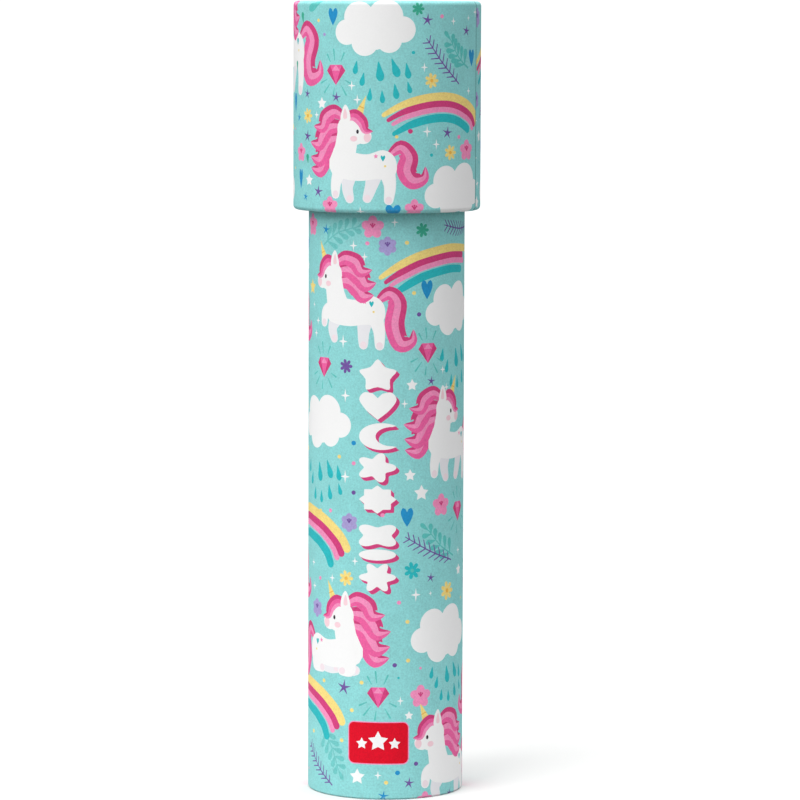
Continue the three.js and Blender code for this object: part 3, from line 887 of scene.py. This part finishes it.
# the same for the tube
TUBE_PRINT = [
    (branch(12.5, "mist"), (-52, 153.3, 1, 24)),
    (branch(12.5), (59, 67.0, 1, 142)),
    (branch(12.5, "mist"), (-53, 18.5, 1, -60)),
    (rainbow(RISE), (40, 149.0)),
    (pony("prance", sway=(-0.6, -3.2)), (-26, 135.4, 0.84)),
    (cloud(), (58, 135.8, 0.92)),
    (rain(), (61, 120.5)),
    (cloud(), (-56, 104.3, 0.94)),
    (rain(), (-59, 88.8)),
    *column(),
    (pony("stand", True), (59, 98.2, 0.84)),
    (rainbow(FALL, 1.2, FALL_ENDS), (-50, 73.4), (-54, 25.0)),
    (pony("rest", True), (-44, 40.6, 0.88, 0, True)),
    (cloud(), (49, 45.6, 0.98)),
    (rain(), (50.5, 32.6, 0.9)),
    (pony("prance"), (57.5, 7.6, 0.86)),
    (badge(), (-5, 15.8)),
    (gem(), (-52, 119.5), (32, 123.9), (67, 79.1), (-5, 28.7, 1.04)),
    (fir_sprig(14), (47, 158.8, 1, -4)),
    (fir_sprig(17.5), (14.5, 73.2, 1, -25)),
    (fir_sprig(15.5), (-73, 13.4, 1, -42)),
    (blossom("rose", "magenta", 5, 3.05), (-10, 158.4), (-70, 158.4), (45, 81.4), (27, 28.6)),
    (blossom("lavender", "purple", 6, 2.5), (0.8, 153.3), (-27.6, 76.9), (-61, 52)),
    (blossom("rose", "magenta"), (31, -0.8)),
    (daisy("moss", "moss"), (27, 157.6)),
    (daisy("purple", "purple"), (-30.4, 120.1)),
    (daisy("deep", "shade", 2.3), (20, 63.8)),
    (daisy("yellow", "amber", 2.1), (52, 57.3, 1.2), (-30, 61.4)),
    (heart("blue", 3.6, 5.3), (31, 141.2), (15.8, 78.6)),
    (star("yellow", 2.3), (-70, 141.2)),
    (star(), (19.3, 115.1), (18, 90.2), (17.8, 23.4, 0.75), (69, 62.5)),
    (star("white", 2.3), (27, 85.2), (-20.6, 6.2)),
    (asterisk(), (35, 116, 0.8), (35.2, 61.5, 0.8), (-31.7, 30.9, 1.25), (18, 4.5, 0.9), (56, 0.2, 0.7)),
    (asterisk("blue", 1.7), (-1, 1.0), (-50, 157.4)),
    (twinkle(1.9), (-24.6, 153.3, 0.8), (-33, 126.9), (-31, 112), (-31, 89.6), (22.8, 57)),
    (twinkle(1.3), (-16, 150.3), (6, 159.8), (-63, 128.6), (46, 119), (-22.8, 66.3), (-42.7, 61.1),
     (11.3, 27.6), (-5, 6.8), (-60, 132.1), (13.7, 110), (-67, 64.5), (-65, 58), (50, 114), (68, 68)),
    (dot("yellow", 0.6), (15, 154.2), (20.5, 140.4), (-36.2, 95), (16.4, 49.6), (17, 38.8), (-51.5, 32),
     (-17.4, 32.6), (-25, 24.7), (1, 4.8), (-56, 79.4), (-33.5, 16), (-66.5, 17)),
    (dot("rose", 0.6), (-13.9, 154), (-24, 93.4), (-44.6, 79.8), (-2.2, 79.3), (-56.5, 60.5), (10, 55)),
    (dot("blue", 0.7), (-24, 99), (9.4, 7.5)),
    (dot("purple", 0.65), (-24, 85.3), (7, 37.6), (23.5, 9.8), (24.5, 134.5)),
]


def print_tube(sheet):
    sheet.put_rows(TUBE_PRINT)
    fill_back(sheet, 3.0, 154.0, (96.0, 264.0))
    for kinds in (SMALL, TINY):
        sheet.scatter(kinds, 1500, -3, 162, (84.0, 276.0))
    sheet.scatter(TINY, 300, 2, 158, (-84.0, 84.0))


# ---- rings and discs, turned from a profile in (radius, height) millimetres ----


def rounded_profile(corners, radius, steps=4):
    """Rounds a closed outline's corners: (point, outward normal) pairs."""
    pairs = []
    count = len(corners)
    for i in range(count):
        before, here, after = (Vector(corners[(i + k) % count]) for k in (-1, 0, 1))
        come, go = (here - before).normalized(), (after - here).normalized()
        first, last = Vector((come.y, -come.x)), Vector((go.y, -go.x))
        cut = min(radius, (here - before).length / 2.2, (after - here).length / 2.2)
        centre = here - come * cut - first * cut
        for k in range(steps + 1):
            normal = first.slerp(last, k / steps)
            pairs.append((centre + normal * cut, normal))
    return pairs


def turned_piece(name, corners, material, body, replaces, edge=0.15, segments=192):
    """A closed ring, or a disc where the outline starts at the axis."""
    pairs = rounded_profile(corners, edge)
    places, normals, faces = [], [], []
    count = len(pairs)
    for s in range(segments):
        c, d = math.cos(2 * math.pi * s / segments), math.sin(2 * math.pi * s / segments)
        for point, normal in pairs:
            places.append(Vector((point.x * c, point.x * d, point.y)) * MM)
            normals.append((normal.x * c, normal.x * d, normal.y))
        for k in range(count):
            after, ring, following = (k + 1) % count, s * count, (s + 1) % segments * count
            faces.append((ring + k, following + k, following + after, ring + after))
    corner_normals = [normals[i] for face in faces for i in face]
    piece = add_mesh(name, places, faces, corner_normals, [material], [0] * len(faces))
    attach(piece, body)
    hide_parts(*replaces)


# ---- other materials ----


def board(name, code, fleck, stripe=0.0):
    """Grey or dyed board: fibre flecks, a soft mottle and, on wound tubes, a faint spiral seam."""
    nodes = Nodes(name)
    base = linear(code)
    dark = toned(base, fleck)
    fibres = nodes.ramp(nodes.noise(1500, 5.0, 0.7, stretch=(1, 1, 3)), 0.35, 0.7)
    colour = nodes.mix(fibres, dark, base)
    specks = nodes.ramp(nodes.noise(3200, 2.0), 0.66, 0.72, 0.0, 0.5)
    colour = nodes.mix(specks, colour, toned(base, 1.5, 0.02))
    if stripe:
        wave = nodes.add("ShaderNodeTexWave", nodes.coordinates["Object"], stripe, 0.4, bands_direction="Z")
        seam = nodes.ramp(wave.outputs["Fac"], 0.0, 0.06, 0.35, 0.0)
        colour = nodes.mix(seam, colour, dark)
    roughness = nodes.ramp(nodes.noise(900), 0.3, 0.7, 0.78, 0.95)
    return nodes.finish(colour, roughness, Normal=nodes.bump(nodes.noise(2200, 4.0, 0.7), 0.04 * MM, 0.6))


def mirror_glass():
    """Bright mirror with a few smudges that dull its shine."""
    nodes = Nodes("mirror_glass")
    smudge = nodes.ramp(nodes.noise(160, 3.0, 0.6), 0.5, 0.75)
    colour = nodes.mix(smudge, linear("F2F5F6"), linear("DDE4E6"))
    return nodes.finish(colour, nodes.ramp(smudge, 0.0, 1.0, 0.03, 0.14), Metallic=1.0)


def clear_plastic():
    """Thin clear disc with fine scratches."""
    nodes = Nodes("clear_plastic")
    scratches = nodes.noise(500, 3.0, 0.7, stretch=(1, 12, 1))
    colour = nodes.mix(nodes.ramp(scratches, 0.4, 0.7), linear("EEF4F5"), linear("DDE8EA"))
    roughness = nodes.ramp(scratches, 0.45, 0.7, 0.06, 0.22)
    return nodes.finish(colour, roughness, Normal=nodes.bump(scratches, 0.01 * MM, 0.3), Alpha=0.3)


def frosted_plastic():
    """Milky disc with a fine moulded grain, which lets the coloured pieces show through."""
    nodes = Nodes("frosted_plastic")
    grain = nodes.noise(2400, 3.0, 0.6)
    milk = nodes.ramp(nodes.noise(140, 2.0), 0.3, 0.7)
    colour = nodes.mix(milk, linear("F3F5F6"), linear("E4E9EC"))
    roughness = nodes.ramp(grain, 0.3, 0.7, 0.42, 0.6)
    return nodes.finish(colour, roughness, Normal=nodes.bump(grain, 0.03 * MM, 0.7), Alpha=0.24)


def tinted_plastic(name, code):
    """Clear coloured plastic with flow marks from its mould."""
    nodes = Nodes(name)
    base = linear(code)
    flow = nodes.ramp(nodes.noise(420, 3.0, 0.6), 0.3, 0.7)
    colour = nodes.mix(flow, toned(base, 0.72), base)
    roughness = nodes.ramp(nodes.noise(900), 0.3, 0.7, 0.1, 0.24)
    return nodes.finish(colour, roughness, Normal=nodes.bump(flow, 0.03 * MM, 0.3), Alpha=0.88)


PIECE_COLOURS = {
    "piece_pink": "F04C98", "piece_red": "E22A2A", "piece_yellow": "FACD3C", "piece_blue": "3A9BE0",
    "piece_green": "4CC07A", "piece_purple": "8A62C4",
}


def make_finishes():
    """One material for each of the record's slots except the printed paper."""
    finishes = {
        "greyboard": board("greyboard", "B7AC98", 0.72, stripe=24),
        "black_card": board("black_card", "2B2B2E", 0.6),
        "packing_card": board("packing_card", "C8A87C", 0.75, stripe=60),
        "rim_card": board("rim_card", "EDEDEA", 0.9),
        "mirror_glass": mirror_glass(),
        "clear_plastic": clear_plastic(),
        "frosted_plastic": frosted_plastic(),
    }
    for name, code in PIECE_COLOURS.items():
        finishes[name] = tinted_plastic(name, code)
    return finishes


# ---- the object's pieces ----


def dress_frame(finishes):
    """Gives every carried-over CAD node the finish of its slot, and the loose pieces soft edges."""
    for entry in frame["record"]["subparts"]:
        node, slot = frame["nodes"][entry["node"]], entry["material_slot"]
        if slot not in finishes:
            continue
        node.data.materials.clear()
        node.data.materials.append(finishes[slot])
        if entry["node"].startswith("tumble_"):
            bevel = node.modifiers.new("soft_edges", "BEVEL")
            bevel.width = 0.18 * MM
            bevel.segments = 2
            bevel.limit_method = "ANGLE"


def hole_radius(node):
    """The radius of the hole through a ring node, from its innermost vertices."""
    piece = frame["nodes"][node]
    return min((piece.matrix_world @ v.co).xy.length for v in piece.data.vertices) / MM


def build_rings(finishes):
    """Finely rounded copies of the rings and discs that show at the two ends."""
    pieces = [("head_lower_ring", "head", "greyboard"), ("front_rim_ring", "head", "rim_card"),
              ("chamber_outer_window", "head", "frosted_plastic"),
              ("eyepiece_disc", "barrel", "black_card"), ("eyepiece_window", "barrel", "clear_plastic")]
    for node, body, slot in pieces:
        inner = 0.02 if node.endswith("window") else hole_radius(node)
        low, high = span_mm(node)
        corners = [(inner, low[2]), (high[0], low[2]), (high[0], high[2]), (inner, high[2])]
        turned_piece(node + "_fine", corners, finishes[slot], body, [node])


def build_wraps(finishes):
    """The two printed papers."""
    inks = {name: ink_material(name, code) for name, code in INKS.items()}
    back = board("paper_back", "F2F0EA", 0.94)
    foot, rim = (EDGE_RADIUS, TUBE_TURN_IN), (RIM_RADIUS, HEAD_TURN_IN)
    tube = Wrap("tube_print", TUBE_RADIUS, TUBE_WALL, TUBE_SEAM, 120, 0.0, TUBE_TOP, foot, None)
    print_tube(tube)
    head = Wrap("head_print", HEAD_RADIUS, HEAD_WALL, HEAD_SEAM, 144, HEAD_LOW, HEAD_HIGH, rim, rim)
    print_head(head)
    for sheet, node, body in ((tube, "tube_wrap", "barrel"), (head, "head_wrap", "head")):
        # painted shade and shadow lines along the paper's overlap
        sheet.seam_shadow_lines()
        piece = sheet.build(inks, back)
        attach(piece, body)
        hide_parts(node)


# ---- floor, light and camera ----


MIDDLE = Vector((0, 0, 0.11))  # what the lights face, in metres
FLOOR_RADIUS = 0.6
CAMERA_PLACE = (0.0035, -1.11, 0.2136)
CAMERA_TILT, CAMERA_ROLL = 5.38, -0.2  # degrees down and round the line of sight
CAMERA_LENS, CAMERA_SENSOR = 179.5, 36.0


def floor_material():
    """A white sweep that throws back less light than it shows, as if only the object stood on paper."""
    nodes = Nodes("floor")
    shown = nodes.mix(nodes.ramp(nodes.noise(9, 2.0), 0.3, 0.7), linear("DADAD9"), linear("DEDEDD"))
    reach = nodes.add("ShaderNodeVectorMath", nodes.coordinates["Object"], operation="LENGTH")
    far = nodes.ramp(reach.outputs["Value"], 0.07, 0.28)
    thrown = nodes.mix(far, linear("B0B0B0"), linear("707070"))
    path = nodes.add("ShaderNodeLightPath")
    colour = nodes.mix(path.outputs["Is Camera Ray"], thrown, shown)
    return nodes.finish(colour, 0.9)


def build_floor():
    bpy.ops.mesh.primitive_circle_add(vertices=96, radius=FLOOR_RADIUS, fill_type="NGON")
    floor = bpy.context.object
    floor.name = "floor"
    floor.data.materials.append(floor_material())


def build_world():
    """Pale surroundings that are dark below, and plain white where the camera sees them."""
    nodes = Nodes("studio", bpy.data.worlds)
    bpy.context.scene.world = nodes.owner
    height = nodes.add("ShaderNodeSeparateXYZ", nodes.coordinates["Generated"]).outputs["Z"]
    sky = nodes.add("ShaderNodeValToRGB", height)
    below, above = sky.color_ramp.elements
    below.color = (0.08, 0.08, 0.08, 1.0)
    above.color = (0.985, 0.99, 1.0, 1.0)
    above.position = 0.12
    ambient = nodes.add("ShaderNodeBackground", sky.outputs["Color"], 0.77)
    seen = nodes.add("ShaderNodeBackground", (1.0, 1.0, 1.0, 1.0), 1.1)
    camera_ray = nodes.add("ShaderNodeLightPath").outputs["Is Camera Ray"]
    both = nodes.add("ShaderNodeMixShader", camera_ray, ambient.outputs[0], seen.outputs[0])
    nodes.feed(nodes.tree.nodes["World Output"].inputs["Surface"], both.outputs[0])


def area_light(name, place, size, watts, colour=(1.0, 1.0, 1.0)):
    data = bpy.data.lights.new(name, "AREA")
    data.shape = "SQUARE"
    data.size = size
    data.energy = watts
    data.color = colour
    light = add_object(name, data)
    light.location = place
    light.rotation_euler = (MIDDLE - Vector(place)).to_track_quat("-Z", "Y").to_euler()


def build_lights():
    area_light("key", (-1.2, -1.3, 1.75), 1.6, 37.5, (1.0, 0.995, 0.98))
    area_light("overhead", (0.0, 0.1, 2.1), 2.4, 37)


def build_camera():
    """The photo's camera, fitted to the photo's outlines."""
    data = bpy.data.cameras.new("camera")
    data.sensor_width = CAMERA_SENSOR
    data.lens = CAMERA_LENS
    camera = add_object("camera", data)
    camera.location = CAMERA_PLACE
    camera.rotation_euler = (math.radians(90 - CAMERA_TILT), math.radians(CAMERA_ROLL), 0.0)
    bpy.context.scene.camera = camera


finishes = make_finishes()
dress_frame(finishes)
build_rings(finishes)
build_wraps(finishes)
build_floor()
build_world()
build_lights()
build_camera()
bpy.context.scene.view_settings.view_transform = "Standard"
